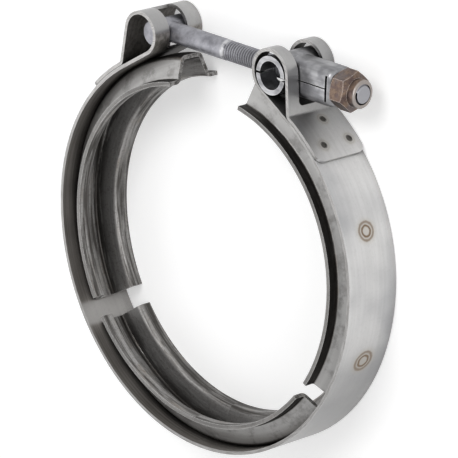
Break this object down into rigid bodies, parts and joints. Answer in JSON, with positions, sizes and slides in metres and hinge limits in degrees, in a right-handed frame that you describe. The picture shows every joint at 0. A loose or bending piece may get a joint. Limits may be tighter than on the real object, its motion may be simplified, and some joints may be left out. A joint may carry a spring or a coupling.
{
  "type": "v band clamp",
  "caption": "V band clamp: steel strip ring with channel segments inside, closed by a T-bolt through a rolled trunnion with a lock nut.",
  "frame": {"origin": "centre of the ring's true round half, midway across the strip's width", "axes": "+Z along the ring's axis (the clamp lies flat, with -Z down), +Y towards the closing bolt, +X towards the nut"},
  "size_m": [0.16, 0.1668, 0.0246],
  "materials": {
    "strip_steel": "satin stainless strip",
    "segment_steel": "rolled stainless sheet, darkened",
    "bolt_steel": "plain forged steel, bluish grey",
    "trunnion_steel": "plain pressed steel",
    "nut_steel": "bronze-brown coated lock nut, worn at the corners"
  },
  "bodies": {
    "clamp": {"band": "strip_steel", "segment_left": "segment_steel", "segment_right": "segment_steel", "segment_bottom": "segment_steel"},
    "t_bolt": {"t_bolt": "bolt_steel"},
    "trunnion": {"trunnion": "trunnion_steel"},
    "nut": {"nut": "nut_steel"}
  },
  "joints": [
    {"name": "nut_spin", "type": "hinge", "parent": "clamp", "child": "nut", "pos_m": [0.0652, 0.0758, 0], "axis": [1, 0, 0], "range_deg": [0, 720]},
    {"name": "t_bolt_slide", "type": "slide", "parent": "clamp", "child": "t_bolt", "axis": [-1, 0, 0], "range_m": [0, 0.0025]},
    {"name": "trunnion_rock", "type": "hinge", "parent": "clamp", "child": "trunnion", "pos_m": [0.0347, 0.0765, 0], "axis": [0, 0, 1], "range_deg": [-0.8, 0.8]}
  ],
  "couplings": [
    {"joint": "nut_spin", "follows": "t_bolt_slide", "rad_per_m": 5026.5}
  ]
}
